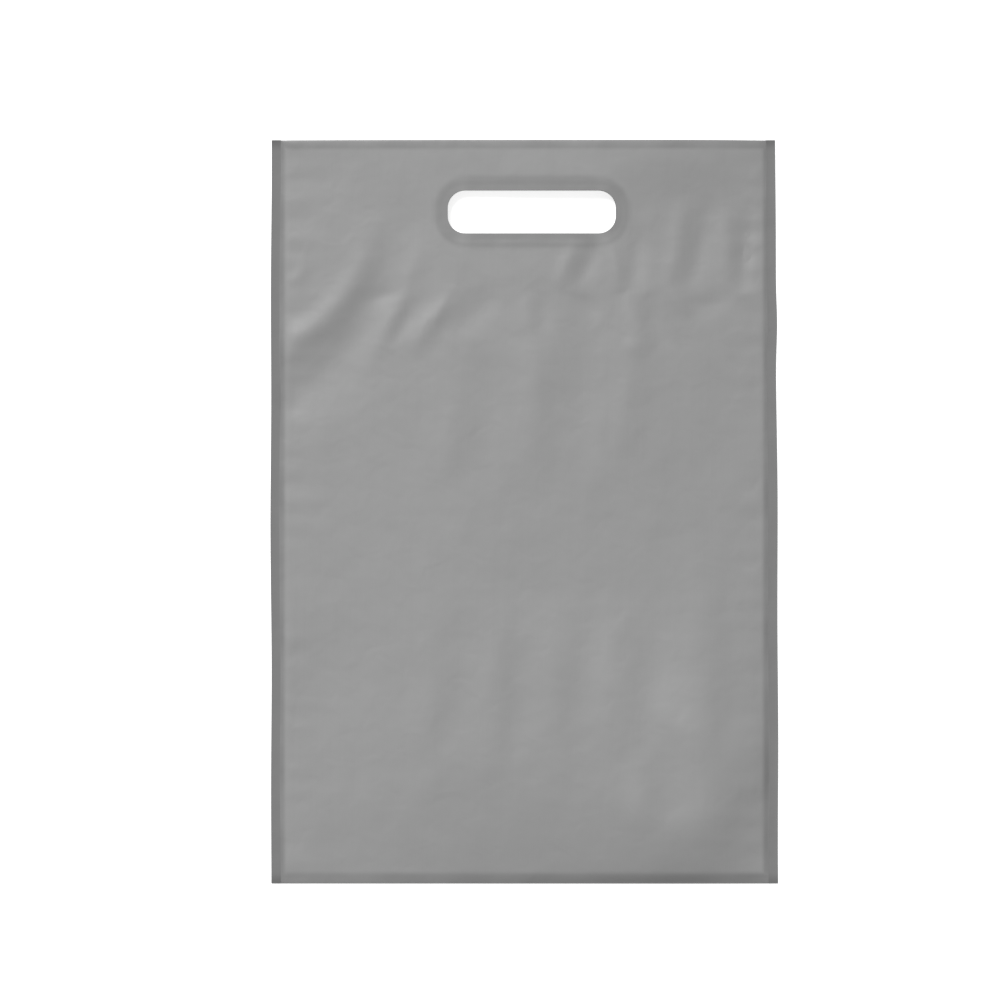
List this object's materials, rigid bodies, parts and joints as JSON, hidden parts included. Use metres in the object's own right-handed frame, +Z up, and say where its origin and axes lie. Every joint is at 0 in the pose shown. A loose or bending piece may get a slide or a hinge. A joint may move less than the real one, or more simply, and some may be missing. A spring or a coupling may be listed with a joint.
{
  "type": "plastic carrier bag",
  "caption": "Flat grey film carrier bag with a folded bottom, welded sides, a turned-in top hem and a punched hand slot, lying slightly open.",
  "frame": {"origin": "centre of the bag's outline, on the surface that its back panel lies on", "axes": "+X across the bag, +Y from the bottom fold to the open top, +Z up out of the front panel"},
  "size_m": [0.241, 0.354, 0.0097],
  "materials": {
    "film": "opaque mid-grey polyethylene film with a soft satin sheen"
  },
  "bodies": {
    "root": {"bag": "film"}
  },
  "joints": []
}
